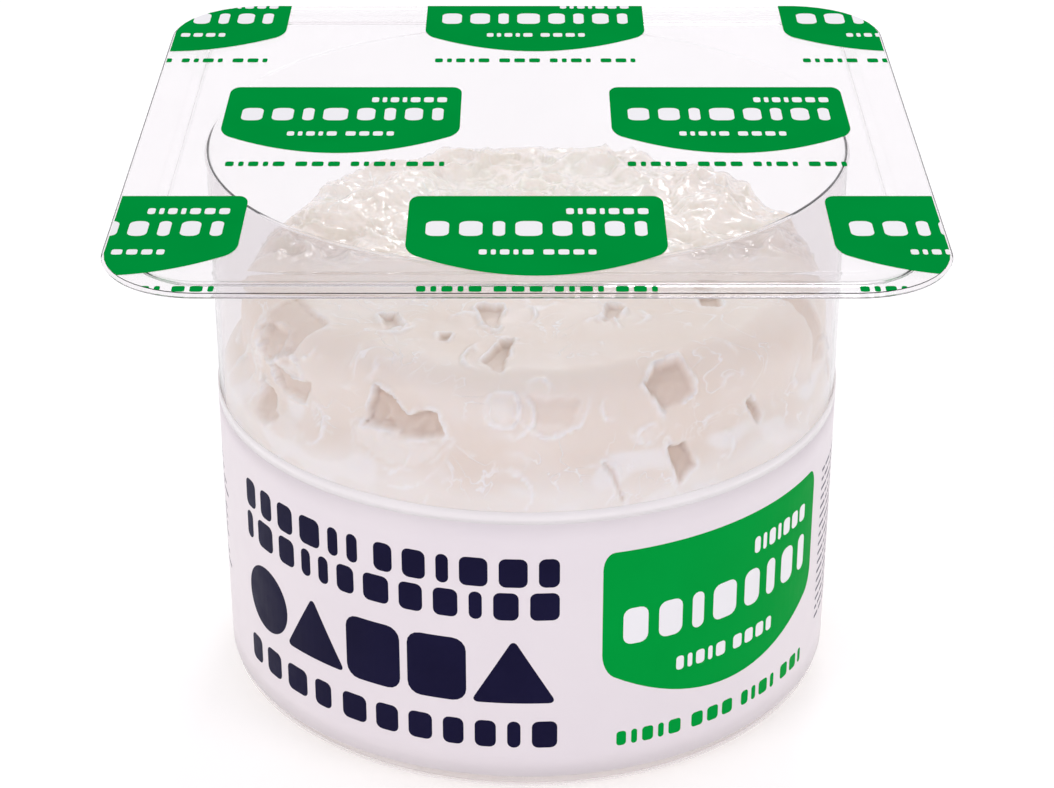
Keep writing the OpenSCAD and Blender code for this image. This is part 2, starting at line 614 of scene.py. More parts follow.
@dataclass
class Tub:
    """Deep-drawn clear cup whose square flange has a groove pressed round it.

    Its sheet and the bend at its mouth are finer than the frame's, so that the mouth looks thin.
    """

    half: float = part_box("tub")[1].x
    top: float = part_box("tub")[1].z
    sheet: float = 0.4 * MM
    corner: float = 10.7 * MM
    wall_top: float = 36.6 * MM
    wall_base: float = 36.2 * MM
    base_bend: float = 2.0 * MM
    mouth_bend: float = 0.4 * MM
    foot_width: float = 4.0 * MM
    rise: float = 1.0 * MM
    groove_inset: float = 3.2 * MM
    groove_width: float = 2.0 * MM
    groove_depth: float = 0.6 * MM
    around: int = 360

    @property
    def bend_z(self) -> float:
        """Height at which the straight wall ends."""
        return self.top - self.sheet - self.mouth_bend

    def wall_radius(self, z: float) -> float:
        """Outer radius of the wall at height z."""
        share = (z - self.base_bend) / (self.bend_z - self.base_bend)
        return self.wall_base + (self.wall_top - self.wall_base) * share

    def base(self) -> list[Station]:
        """Stations of the base, from its raised middle to the foot of the wall."""
        foot_in = self.wall_base - self.base_bend - self.foot_width
        soft = 0.3 * MM
        return [
            ring_at(foot_in * 0.5, self.rise),
            ring_at(foot_in - self.rise - soft, self.rise),
            ring_at(foot_in - self.rise + soft, self.rise - soft),
            ring_at(foot_in - soft, soft),
            ring_at(foot_in + soft, 0.0),
            *arc_stations(self.wall_base - self.base_bend, self.base_bend, self.base_bend, -90, 0, 8),
        ]

    def flange(self) -> list[Station]:
        """Stations of the flange's underside, across the groove and out to the edge."""
        low = self.top - self.sheet
        inner = self.groove_inset + self.groove_width
        slope = 0.5 * MM
        levels = [
            (inner + 0.5 * MM, 0.0),
            (inner + 0.1 * MM, 0.08),
            (inner - slope * 0.5, 0.7),
            (inner - slope, 1.0),
            (self.groove_inset + slope, 1.0),
            (self.groove_inset + slope * 0.5, 0.7),
            (self.groove_inset - 0.1 * MM, 0.08),
            (self.groove_inset - 0.5 * MM, 0.0),
            (1.2 * MM, 0.0),
            (0.12 * MM, 0.0),
            (0.0, 0.1),
        ]
        return [
            rounded_square(self.half - inset, self.corner - inset, low - drop * self.groove_depth)
            for inset, drop in levels
        ]

    def build(self, maker: Maker) -> bpy.types.Object:
        """Builds the tub.

        Args:
            maker: makes the piece.

        Returns:
            The tub.
        """
        bm = level_disc(self.wall_base * 0.1, self.rise, self.around)
        heights = [self.base_bend + (self.bend_z - self.base_bend) * i / 12 for i in range(1, 12)]
        loft(
            bm,
            bm.edges[:],
            self.base()
            + [ring_at(self.wall_radius(z), z) for z in heights]
            + arc_stations(self.wall_top + self.mouth_bend, self.bend_z, self.mouth_bend, 180, 90, 8)
            + self.flange(),
        )
        underside = min(bm.faces, key=lambda f: f.calc_center_median().length)
        turn_out(bm, underside, Vector((0, 0, -1)))
        tub = maker.piece("tub_shell", bm, TUB_PLASTIC, Slot.TUB, "tub")
        wall(tub, self.sheet, -1)
        return tub


@dataclass
class LidFilm:
    """Clear film sealed on the flange."""

    half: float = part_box("lid_film")[1].x
    low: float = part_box("lid_film")[0].z
    corner: float = 10.55 * MM
    clearance: float = 0.02 * MM
    thickness: float = 0.1 * MM
    around: int = 288

    @property
    def underside(self) -> float:
        """Height of the film's lower face."""
        return self.low + self.clearance

    @property
    def top(self) -> float:
        """Height of the film's upper face."""
        return self.underside + self.thickness

    def build(self, maker: Maker) -> bpy.types.Object:
        """Builds the film.

        Args:
            maker: makes the piece.

        Returns:
            The film.
        """
        bm = level_disc(self.half * 0.1, self.underside, self.around)
        rings = [ring_at(self.half * share, self.underside) for share in (0.4, 0.7, 0.82)]
        outline = rounded_square(self.half, self.corner, self.underside)
        loft(bm, bm.edges[:], [*rings, outline])
        turn_out(bm, next(iter(bm.faces)), Vector((0, 0, 1)))
        film = maker.piece("lid_film_sheet", bm, FILM_PLASTIC, Slot.FILM, "lid_film", smooth=False)
        wall(film, self.thickness, 1)
        return film


# --------------------------------------------------------------------------- print

INK = 0.006 * MM  # thickness of an ink
UNDER = 0.004 * MM  # how far the first ink lies off its surface
OVER = 0.012 * MM  # how far an ink on another ink lies off it


def press(maker: Maker, name: str, laid: bmesh.types.BMesh, look: Printed, slot: Slot) -> None:
    """Makes one ink of a print.

    Args:
        maker: makes the piece.
        name: its name.
        laid: its shapes, laid on their surface.
        look: its finish.
        slot: its material slot in the record.
    """
    wall(maker.piece(name, laid, look, slot, smooth=False, shades=False), INK, 1)


@dataclass
class Stencil:
    """Flat simple shapes of one ink, drawn in X and Y before they are laid on a surface."""

    bm: bmesh.types.BMesh = field(default_factory=bmesh.new)

    def _soften(self, verts: Sequence[bmesh.types.BMVert], radius: float, steps: int) -> None:
        """Rounds the given corners."""
        bmesh.ops.bevel(
            self.bm,
            geom=list(verts),
            offset=radius,
            offset_type="OFFSET",
            segments=steps,
            profile=0.5,
            affect="VERTICES",
            material=-1,
        )

    def bar(self, x: float, y: float, width: float, height: float, round_to: float) -> None:
        """Draws a bar with round corners.

        Args:
            x: its left end.
            y: its lower edge.
            width: its width.
            height: its height.
            round_to: its corners' radius.
        """
        placed = Matrix.Translation((x + width / 2, y + height / 2, 0)) @ Matrix.Diagonal(
            (width, height, 1, 1)
        )
        made = bmesh.ops.create_grid(self.bm, x_segments=1, y_segments=1, size=0.5, matrix=placed)
        self._soften(made["verts"], min(round_to, height * 0.49, width * 0.49), 4)

    def disc(self, x: float, y: float, radius: float, sides: int = 40, turn: float = 0.0) -> None:
        """Draws a disc, or with few sides a rounded regular shape.

        Args:
            x: its centre.
            y: its centre.
            radius: its radius.
            sides: its number of sides.
            turn: its turn in degrees.
        """
        placed = Matrix.Translation((x, y, 0)) @ Matrix.Rotation(math.radians(turn), 4, "Z")
        made = bmesh.ops.create_circle(
            self.bm, cap_ends=True, segments=sides, radius=radius, matrix=placed
        )
        if sides < 8:
            self._soften(made["verts"], radius * 0.16, 5)

    def tab(self, x: float, top: float, width: float, drop: float, bow: float, round_to: float) -> None:
        """Draws a tab with a flat upper edge and an evenly bowed lower one.

        Args:
            x: its middle.
            top: its upper edge.
            width: its width.
            drop: its height at its sides.
            bow: how much lower its middle reaches.
            round_to: its corners' radius.
        """
        steps = 24
        placed = Matrix.Translation((x, top - drop / 2, 0)) @ Matrix.Diagonal((width, drop, 1, 1))
        made = bmesh.ops.create_grid(self.bm, x_segments=steps, y_segments=1, size=0.5, matrix=placed)
        corners = []
        for vert in made["verts"]:
            share = (vert.co.x - x) / (width / 2)
            if vert.co.y < top - drop / 2:
                vert.co.y -= bow * (1 - share * share)
            if abs(share) > 0.99:
                corners.append(vert)
        faces = list({face for vert in made["verts"] for face in vert.link_faces})
        bmesh.ops.dissolve_faces(self.bm, faces=faces)
        self._soften([v for v in corners if v.is_valid], round_to, 6)

    def words(
        self, x: float, y: float, width: float, height: float, groups: Sequence[int], seed: int = 1
    ) -> None:
        """Draws a row of plain blocks of uneven width in groups, as filler for a line of print.

        Args:
            x: the row's left end.
            y: its lower edge.
            width: its whole width.
            height: its blocks' height.
            groups: the number of blocks in each group.
            seed: picks the blocks' widths.
        """
        draw = random.Random(seed)
        gap, space = 0.42, 1.0
        blocks = [[draw.choice((0.5, 0.8, 0.95, 1.1)) for _ in range(count)] for count in groups]
        total = sum(map(sum, blocks)) + gap * sum(n - 1 for n in groups) + space * (len(groups) - 1)
        unit = width / total
        for group in blocks:
            for share in group:
                self.bar(x, y, share * unit, height, height * 0.22)
                x += (share + gap) * unit
            x += (space - gap) * unit

    def clip(self, half: float, corner: float) -> None:
        """Cuts away what lies outside a square with round corners.

        Args:
            half: half the square's width.
            corner: its corners' radius.
        """
        core = half - corner
        steps = 10
        for quarter, (across, along) in enumerate(((1, 1), (-1, 1), (-1, -1), (1, -1))):
            middle = Vector((across * core, along * core, 0))
            for i in range(steps + 1):
                angle = math.pi / 2 * (quarter + i / steps)
                away = Vector((math.cos(angle), math.sin(angle), 0))
                bmesh.ops.bisect_plane(
                    self.bm,
                    geom=self.bm.verts[:] + self.bm.edges[:] + self.bm.faces[:],
                    plane_co=middle + away * corner,
                    plane_no=away,
                    clear_outer=True,
                )

    def lay(self, z: float) -> bmesh.types.BMesh:
        """Lays the shapes flat at height z and returns their mesh."""
        bmesh.ops.translate(self.bm, verts=self.bm.verts[:], vec=(0, 0, z))
        return self.bm

    def wrap(self, radius: Callable[[float], float], proud: float) -> bmesh.types.BMesh:
        """Wraps the shapes round the wall, with X along it from the front and Y up.

        Args:
            radius: the surface's radius at each height.
            proud: how far outside the surface they lie.

        Returns:
            Their mesh.
        """
        xs = [v.co.x for v in self.bm.verts]
        slice_width = 1.1 * MM
        cut = min(xs) + slice_width
        while cut < max(xs):
            bmesh.ops.bisect_plane(
                self.bm,
                geom=self.bm.verts[:] + self.bm.edges[:] + self.bm.faces[:],
                plane_co=(cut, 0, 0),
                plane_no=(1, 0, 0),
            )
            cut += slice_width
        for vert in self.bm.verts:
            z = vert.co.y
            angle = vert.co.x / radius(z)
            reach = radius(z) + proud
            vert.co = (reach * math.sin(angle), -reach * math.cos(angle), z)
        return self.bm


@dataclass
class FilmPrint:
    """Green tabs in staggered rows across the lid film, each with plain white bars."""

    film: LidFilm
    pitch_x: float = 44.8 * MM
    pitch_y: float = 33.3 * MM
    first_top: float = -18.8 * MM
    first_x: float = 1.0 * MM
    width: float = 27.4 * MM
    drop: float = 15.0 * MM
    bow: float = 5.9 * MM

    def tabs(self) -> list[tuple[float, float]]:
        """Middle and upper edge of each tab that the film cuts or holds."""
        places = []
        for row in range(-1, 3):
            shift = self.first_x + (self.pitch_x / 2 if row % 2 else 0.0)
            places += [
                (shift + column * self.pitch_x, self.first_top + row * self.pitch_y)
                for column in range(-2, 2)
            ]
        return places

    def build(self, maker: Maker) -> None:
        """Builds the print.

        Args:
            maker: makes the pieces.
        """
        green, white = Stencil(), Stencil()
        for x, top in self.tabs():
            green.tab(x, top, self.width, self.drop, self.bow, 2.0 * MM)
            line_y = top - self.drop - self.bow - 3.9 * MM
            green.words(x - 12.2 * MM, line_y, 24.4 * MM, 1.4 * MM, (5, 3, 4, 3))
            white.words(x - 11.7 * MM, top - 10.8 * MM, 23.4 * MM, 3.9 * MM, (8,), 5)
            white.words(x + 3.2 * MM, top - 5.0 * MM, 8.8 * MM, 1.6 * MM, (7,))
            white.words(x - 6.0 * MM, top - 15.6 * MM, 12.2 * MM, 1.3 * MM, (5, 4))
        for ink, look, slot, lift, name in (
            (green, FILM_GREEN, Slot.GREEN, UNDER, "film_print_green"),
            (white, WHITE_INK, Slot.WHITE, OVER, "film_print_white"),
        ):
            ink.clip(self.film.half, self.film.corner)
            press(maker, name, ink.lay(self.film.top + lift), look, slot)


@dataclass
class Label:
    """Wrap label: white stock round the lower half, with its seam lapped at the back."""

    tub: Tub
    low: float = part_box("label")[0].z
    high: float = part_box("label")[1].z
    gap: float = 0.05 * MM
    thickness: float = 0.12 * MM
    lap: float = 6.0
    clear_edge: float = 1.5 * MM

    def radius(self, z: float) -> float:
        """Radius of the label's inner face at height z."""
        return self.tub.wall_radius(z) + self.gap

    def face(self, z: float) -> float:
        """Radius of the label's printed face at height z."""
        return self.radius(z) + self.thickness

    def sleeve(self) -> bmesh.types.BMesh:
        """The label's inner face, swept round with its end lapped over its start."""
        steps, rows = 366, 12
        heights = [self.low + (self.high - self.low) * i / rows for i in range(rows + 1)]
        seam = [Vector((0, self.radius(z), z)) for z in heights]
        bm = sweep(seam, -math.radians(360 + self.lap), steps, closed=False)
        per_step = (360 + self.lap) / steps
        for index, vert in enumerate(bm.verts):
            turn = (index // len(seam)) * per_step
            over = min(1.0, max(0.0, (turn - 360.0 + self.lap) / self.lap))
            lifted = over * (self.thickness + 0.02 * MM)
            vert.co.xy *= 1 + lifted / vert.co.xy.length
        probe = next(iter(bm.faces))
        turn_out(bm, probe, probe.calc_center_median())
        return bm

    def edge_strip(self) -> bmesh.types.BMesh:
        """Narrow milky band just above the white: partly the label's unprinted margin, partly painted
        light that hides the shade in the gap between cheese and wall there.
        """
        start = self.high + 0.01 * MM
        bm = level_disc(self.radius(start), start, 240, filled=False)
        end = self.high + self.clear_edge
        loft(bm, bm.edges[:], [ring_at(self.radius(end), end)])
        bmesh.ops.recalc_face_normals(bm, faces=bm.faces[:])
        return bm

    def words(self) -> tuple[Stencil, Stencil, Stencil, Stencil]:
        """Simple shapes that take the place of the label's print.

        Returns:
            The navy, green, white and small grey-navy shapes.
        """
        navy, green, white = Stencil(), Stencil(), Stencil()
        navy.words(-39.3 * MM, 27.2 * MM, 19.6 * MM, 3.6 * MM, (6,), 3)
        navy.words(-17.6 * MM, 27.2 * MM, 21.2 * MM, 3.6 * MM, (6,), 4)
        navy.words(-39.4 * MM, 23.0 * MM, 43.0 * MM, 3.5 * MM, (12,), 6)
        navy.disc(-35.3 * MM, 16.2 * MM, 4.2 * MM)
        navy.disc(-26.6 * MM, 15.0 * MM, 5.4 * MM, 3)
        navy.bar(-21.6 * MM, 12.1 * MM, 7.0 * MM, 8.2 * MM, 1.6 * MM)
        navy.bar(-13.7 * MM, 12.1 * MM, 6.9 * MM, 8.2 * MM, 1.6 * MM)
        navy.disc(-1.5 * MM, 15.0 * MM, 5.6 * MM, 3)
        navy.words(-39.7 * MM, 6.3 * MM, 15.6 * MM, 3.5 * MM, (4,), 8)
        navy.words(-22.4 * MM, 6.3 * MM, 25.8 * MM, 3.5 * MM, (7,), 9)
        green.tab(24.9 * MM, 30.9 * MM, 33.0 * MM, 15.2 * MM, 5.3 * MM, 2.2 * MM)
        green.words(10.2 * MM, 5.6 * MM, 29.5 * MM, 1.9 * MM, (5, 3, 4, 3))
        white.words(10.8 * MM, 18.9 * MM, 28.2 * MM, 4.6 * MM, (8,), 5)
        white.words(28.4 * MM, 25.4 * MM, 10.4 * MM, 2.1 * MM, (7,))
        white.words(17.4 * MM, 14.0 * MM, 14.6 * MM, 1.8 * MM, (5, 4))
        return navy, green, white, self.small_print()

    def small_print(self) -> Stencil:
        """Rows of tiny bars of uneven length in a block at each side of the label."""
        small, draw = Stencil(), random.Random(7)
        first, pitch, gap, full = 28.6, 1.25, 0.45, 19.0
        for start, rows in ((44.6 * MM, 17), (-69.4 * MM, 13)):
            for row in range(rows):
                x = start
                end = start + (full if row % 5 else draw.uniform(8, 15)) * MM
                while x < end:
                    length = draw.uniform(0.8, 3.4) * MM
                    small.bar(x, (first - pitch * row) * MM, length, 0.4 * MM, 0.1 * MM)
                    x += length + gap * MM
        return small

    def build(self, maker: Maker) -> None:
        """Builds the label and its print.

        Args:
            maker: makes the pieces.
        """
        sleeve = maker.piece(
            "label_sleeve", self.sleeve(), LABEL_STOCK, Slot.LABEL, "label", shades=False
        )
        wall(sleeve, self.thickness, 1)
        # milky band above the white: partly the label's margin, partly painted light over the shaded gap
        # behind the wall
        margin = maker.piece(
            "label_edge_and_painted_light", self.edge_strip(), MILKY_MARGIN_AND_PAINTED_LIGHT, Slot.LABEL, shades=False
        )
        wall(margin, self.thickness, 1)
        navy, green, white, small = self.words()
        for ink, look, slot, lift, name in (
            (navy, NAVY_INK, Slot.NAVY, UNDER, "label_print_navy"),
            (green, LABEL_GREEN, Slot.GREEN, UNDER, "label_print_green"),
            (white, WHITE_INK, Slot.WHITE, OVER, "label_print_white"),
            (small, SMALL_INK, Slot.NAVY, UNDER, "label_print_small"),
        ):
            press(maker, name, ink.wrap(self.face, lift), look, slot)


# --------------------------------------------------------------------------- cheese


HOLLOW_MARGIN = 1.5  # in mm, how far round its outline a hollow changes the cheese


@dataclass(frozen=True)
class Hollow:
    """A torn hollow in the cheese, with sharp edges and a lip of curd.

    Args:
        ground: the face it is in.
        u: angle from the front in degrees on the side, or place across on the top in mm.
        v: height up the side and on over the shoulder in mm, or place to the back on the top.
        outline: its corners in mm from there, across and up.
        depth: its depth in mm, negative for a flap that stands out.
        lip: height in mm of the curd pushed up round it.
        shade: how much painted shade darkens its floor, 1 for a full hollow.
    """

    ground: Ground
    u: float
    v: float
    outline: tuple[tuple[float, float], ...]
    depth: float
    lip: float = 0.3
    shade: float = 1.0

    @property
    def reach(self) -> float:
        """How far from its place it changes anything, in mm."""
        return max(math.hypot(x, y) for x, y in self.outline) + HOLLOW_MARGIN

    def depth_at(self, x: float, y: float) -> float:
        """Distance in mm of a point inside the outline from it, negative outside."""
        nearest, inside = 1e9, False
        for (ax, ay), (bx, by) in zip(self.outline, self.outline[1:] + self.outline[:1]):
            ex, ey = bx - ax, by - ay
            share = ((x - ax) * ex + (y - ay) * ey) / (ex * ex + ey * ey)
            share = min(1.0, max(0.0, share))
            nearest = min(nearest, math.hypot(x - ax - ex * share, y - ay - ey * share))
            if (ay > y) != (by > y) and x < ax + ex * (y - ay) / ey:
                inside = not inside
        return nearest if inside else -nearest


@dataclass(frozen=True)
class Crescent:
    """A thin curved ridge on the cheese with a slight swelling inside it.

    Args:
        ground: the face it is on.
        u: as for a hollow.
        v: as for a hollow.
        radius: the curve's radius in mm.
        height: the ridge's height in mm.
        facing: direction of the ridge's middle from the curve's centre, in degrees.
        spread: how far round it runs, 1 for about half the ring.
        swell: height of the swelling inside, as a share of the ridge's.
    """

    ground: Ground
    u: float
    v: float
    radius: float
    height: float
    facing: float
    spread: float = 1.0
    swell: float = 0.3

    @property
    def reach(self) -> float:
        """How far from its place it changes anything, in mm."""
        return self.radius + 1.2


def smoothstep(low: float, high: float, value: float) -> float:
    """Smooth rise from 0 at low to 1 at high."""
    t = min(1.0, max(0.0, (value - low) / (high - low)))
    return t * t * (3 - 2 * t)


def ridged(place: Vector) -> float:
    """Folded noise, 1 along thin creases and near 0 between them."""
    return 1.0 - min(1.0, abs(noise.noise(place)) * 2.4)


@dataclass
class Spot:
    """A place on the plain round.

    Args:
        place: the point in mm from the cheese's axis.
        up: how far the surface faces up there.
        angle: the angle from the front in degrees.
        rise: the distance up the side and on over the shoulder, in mm.
    """

    place: Vector
    up: float
    angle: float
    rise: float

    def seen_from(self, mark: Hollow | Crescent) -> tuple[float, float] | None:
        """Where the point lies from a mark's place.

        Args:
            mark: the hollow or ridge.

        Returns:
            The distances across and up in mm, or None where the mark changes nothing.
        """
        if mark.ground is Ground.TOP:
            x, y = self.place.x - mark.u, self.place.y - mark.v
            if self.up < 0.5:
                return None
        else:
            y = self.rise - mark.v
            if abs(y) > mark.reach:
                return None
            turn = (self.angle - mark.u + 180) % 360 - 180
            x = math.radians(turn) * self.place.xy.length
        return None if max(abs(x), abs(y)) > mark.reach else (x, y)


@dataclass
class Cheese:
    """Round of fresh curd: smooth sides with torn holes, and a top that is rough at the back."""

    tub: Tub
    low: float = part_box("cheese")[0].z
    shift: float = 0.75 * MM
    radius: float = 34.3 * MM
    top: float = 51.0 * MM
    shoulder: float = 5.0 * MM
    lower_edge: float = 2.5 * MM
    hidden: float = 33.5 * MM
    around: int = 540
    step: float = 0.36 * MM
    coarse_step: float = 1.6 * MM
    front_share: float = 0.38
    clearance: float = 0.12 * MM
    seed: int = 3
    marks: list[Hollow | Crescent] = field(default_factory=list)

    def hollows(self) -> list[Hollow]:
        """The hollows, those at the front listed one by one and the rest of the side by a seeded draw."""
        side, top = Ground.SIDE, Ground.TOP
        notch = (
            (-3.4, 2.7), (-1.3, 1.9), (0.8, 0.0), (2.6, 1.0), (4.0, 1.1), (5.0, -1.6),
            (1.4, -2.2), (-1.6, -2.0), (-4.6, -1.9),
        )
        flap = (
            (-6.4, 0.6), (-5.6, -1.2), (-2.4, -2.5), (1.4, -2.4), (3.8, -1.2), (5.4, 0.8), (1.6, 0.2),
            (-2.2, 0.5), (-5.0, 1.3),
        )
        bent = ((-3.4, 1.4), (1.2, 0.9), (3.6, 1.6), (3.0, -0.9), (-1.6, -1.2))
        blunt = ((-2.4, 1.9), (1.8, 2.4), (2.2, -0.6), (0.2, -2.0), (-1.8, -1.4))
        tilted = ((-2.4, 1.8), (0.4, 0.7), (2.8, -1.0), (1.2, -2.4), (-1.6, -1.6))
        lens = ((-3.0, 0.7), (1.0, 1.6), (3.4, 0.5), (2.2, -1.0), (-2.0, -0.9))
        cliff = ((-0.5, 5.2), (0.5, 4.4), (0.3, 0.6), (1.0, -4.2), (-0.1, -4.8), (-0.7, -0.5))
        square = ((1.9, 3.2), (-0.9, 2.9), (-3.1, 0.9), (-1.5, -2.5), (0.4, -2.0), (2.5, -0.8))
        slit = ((-0.2, 3.7), (1.1, 3.9), (1.0, -3.6), (0.4, -3.9), (-1.4, -1.7))
        made = [
            Hollow(side, -24.5, 45.6, notch, 1.5, 0.3),
            Hollow(side, -24.3, 42.7, flap, -0.7, 0.15),
            Hollow(side, -65, 44.0, cliff, -0.7, 0.25),
            Hollow(side, 26.3, 48.6, square, 1.0, 0.45, 0.85),
            Hollow(side, -8.2, 55.8, slit, 0.75, 0.3),
            Hollow(side, 44.8, 42.9, ((-1.5, 1.5), (-0.5, 1.7), (1.4, -1.1), (0.5, -1.8)), 1.1, 0.2),
            Hollow(side, 27.6, 39.6, ((-1.6, 2.2), (0.6, 2.0), (1.6, -0.4), (-0.6, -1.9)), 1.0, 0.35),
            Hollow(side, 13.6, 38.6, ((-0.6, 2.4), (0.5, 2.0), (1.4, -2.2), (0.6, -0.4)), 0.2, 0.3, 0.5),
            Hollow(side, -51.5, 44.4, bent, 0.8, 0.55, 0.7),
            Hollow(side, -59, 47.6, blunt, 0.7, 0.55, 0.6),
            Hollow(side, -58, 41.2, tilted, 0.9, 0.55, 0.7),
            Hollow(side, -52, 39.8, lens, -0.4, 0.2),
            Hollow(side, 76, 40.0, ((-1.8, 3.0), (1.6, 2.0), (2.0, -2.6), (-1.0, -1.4)), 1.2, 0.6),
            Hollow(side, 3.6, 47.4, ((-2.8, 1.8), (3.2, 1.4), (1.8, -1.6), (-2.0, -1.2)), 0.3, 0.05, 0.3),
            Hollow(side, -57, 50.0, ((-4.6, 4.2), (4.2, 3.4), (2.6, -3.6), (-4.4, -3.0)), 0.5, 0.12, 0.55),
            Hollow(side, 68, 46.6, ((-1.4, 6.0), (1.6, 5.6), (1.8, -3.6), (-1.2, -3.2)), 0.5, 0.12, 0.6),
            Hollow(top, -15.9, -19.4, ((-1.3, 2.2), (0.4, 2.0), (1.5, -1.2), (-0.2, -2.3)), 0.6, 0.4, 0.6),
            Hollow(top, -4.9, -17.6, ((-1.5, 2.5), (1.5, 2.6), (0.9, -3.2), (-0.6, -2.2)), 0.6, 0.4, 0.7),
            Hollow(top, -9.9, -22.8, ((-0.5, 0.8), (0.6, 0.6), (0.4, -0.9), (-0.5, -0.7)), 0.5, 0.3),
            Hollow(top, 19.7, -13.4, ((-1.2, 2.4), (1.3, 2.4), (1.2, -1.7), (-1.0, -1.4)), 1.0, 0.2),
            Hollow(top, 19.2, -8.6, ((-1.0, 0.9), (1.0, 1.0), (1.1, -0.8), (-1.0, -0.9)), 0.7, 0.2),
            Hollow(top, 8.6, -16.8, ((-0.3, 2.4), (1.7, 2.6), (0.6, -1.6), (-0.9, -2.0)), 0.5, 0.4, 0.6),
        ]
        draw = random.Random(11)
        count = 11
        for i in range(count):
            wide, tall = draw.uniform(0.9, 4.2), draw.uniform(0.8, 3.4)
            corners = 5 + i % 4
            turns = [2 * math.pi * (k + 0.4 * draw.random()) / corners for k in range(corners)]
            sizes = [draw.uniform(0.35, 1.2) for _ in turns]
            outline = tuple(
                (wide * size * math.cos(t), tall * size * math.sin(t)) for size, t in zip(sizes, turns)
            )
            place, height = 100 + 160 * (i + 0.8 * draw.random()) / count, draw.uniform(36.5, 52)
            # shade: how much painted shade darkens each drawn hollow
            depth, shade = draw.uniform(0.5, 1.3), draw.uniform(0.4, 0.8)
            made.append(Hollow(side, place, height, outline, depth, 0.35, shade))
        return made

    def crescents(self) -> list[Crescent]:
        """The thin ridges left where curds slid against the wall, listed one by one and by a seeded draw.
        """
        side, top = Ground.SIDE, Ground.TOP
        made = [
            Crescent(side, -5.7, 47.6, 1.9, 0.5, 0, 2.4, 0.8),
            Crescent(side, -4.4, 47.2, 2.7, 0.4, -20, 1.1),
            Crescent(side, 0.7, 50.3, 1.1, 0.25, 60, 1.6),
            Crescent(side, 3.2, 48.6, 4.0, 0.4, -75, 1.0),
            Crescent(side, -4.2, 38.2, 2.4, 0.45, 15, 1.3, 0.6),
            Crescent(side, 9.6, 38.3, 2.6, 0.5, 10, 1.1, 0.7),
            Crescent(side, 29.6, 38.2, 2.7, 0.5, -110, 1.5, 0.7),
            Crescent(side, -24.5, 43.6, 5.6, 0.3, -85, 0.9, 0.0),
            Crescent(side, -27.5, 42.6, 3.2, 0.3, -60, 0.8, 0.4),
            Crescent(side, 36.9, 40.2, 1.4, 0.35, -20, 2.0, 0.9),
            Crescent(side, 21.2, 43.7, 1.2, 0.35, 160, 2.0, 0.8),
            Crescent(side, 14.4, 47.4, 1.3, 0.3, 200, 1.2),
            Crescent(side, 47.6, 40.2, 1.5, 0.3, -40, 0.8),
            Crescent(side, 39.0, 46.6, 1.4, 0.25, 100, 0.8),
            Crescent(side, -53.0, 44.0, 3.6, 0.5, 90, 0.9),
            Crescent(side, -45.0, 41.5, 2.2, 0.5, 0, 1.2),
            Crescent(side, -54.0, 38.6, 3.0, 0.5, -70, 1.2, 0.6),
            Crescent(side, -69.0, 41.0, 3.4, 0.6, 180, 1.4),
            Crescent(side, 71.0, 43.0, 2.2, 0.6, 40, 1.6, 0.8),
            Crescent(side, 66.0, 37.0, 2.4, 0.4, 200, 1.2),
            Crescent(side, -10.4, 55.2, 2.6, 0.4, 195, 0.9),
            Crescent(top, -15.9, -19.6, 2.7, 0.42, -75, 1.0),
            Crescent(top, -7.6, -18.6, 1.7, 0.35, 90, 1.2),
            Crescent(top, -3.0, -17.0, 3.2, 0.35, 0, 0.7),
            Crescent(top, 7.2, -20.6, 2.3, 0.4, 70, 1.0),
            Crescent(top, 10.2, -17.5, 2.4, 0.3, -10, 0.9),
        ]
        draw = random.Random(5)
        for ground, count, sizes, heights in (
            (side, 60, (0.7, 2.6), (0.1, 0.28)),
            (top, 26, (0.8, 2.4), (0.1, 0.25)),
        ):
            for _ in range(count):
                if ground is side:
                    place = draw.uniform(-85, 85), 34.5 + 17 * draw.random() ** 1.6
                else:
                    place = draw.uniform(-26, 26), draw.uniform(-26, -4)
                radius, height = draw.uniform(*sizes), draw.uniform(*heights)
                facing, spread = draw.uniform(0, 360), draw.uniform(0.4, 1.0)
                made.append(Crescent(ground, *place, radius, height, facing, spread, 0.15))
        return made

    def profile(self) -> list[Vector]:
        """Half section of the plain round, from the middle of its base to the middle of its top."""
        low, foot = self.low, self.low + self.lower_edge
        rim, crown = self.radius - self.lower_edge, self.radius - self.shoulder
        bend = self.top - self.shoulder
        points = [Vector((rim * i / 5, 0, low)) for i in range(5)]
        for i in range(6):
            turn = math.radians(-90 + 18 * i)
            points.append(
                Vector((rim, 0, foot)) + self.lower_edge * Vector((math.cos(turn), 0, math.sin(turn)))
            )
        for start, end, step in ((foot, self.hidden, self.coarse_step), (self.hidden, bend, self.step)):
            rows = round((end - start) / step)
            points += [
                Vector((self.radius, 0, start + (end - start) * i / rows)) for i in range(1, rows + 1)
            ]
        rows = round(self.shoulder * math.pi / 2 / self.step)
        for i in range(1, rows + 1):
            turn = math.pi / 2 * i / rows
            points.append(
                Vector((crown, 0, bend)) + self.shoulder * Vector((math.cos(turn), 0, math.sin(turn)))
            )
        rows = round(crown / (self.step * 1.15))
        points += [Vector((crown * (1 - i / rows), 0, self.top)) for i in range(1, rows + 1)]
        return points

    def rise(self, place: Vector) -> float:
        """Distance in mm up the side and on over the shoulder and top at a point in mm."""
        bend, crown = (self.top - self.shoulder) / MM, (self.radius - self.shoulder) / MM
        bow = self.shoulder / MM
        if place.z < bend:
            return place.z
        out = place.xy.length - crown
        if out > 0:
            return bend + bow * math.atan2(place.z - bend, out)
        return bend + bow * math.pi / 2 - out

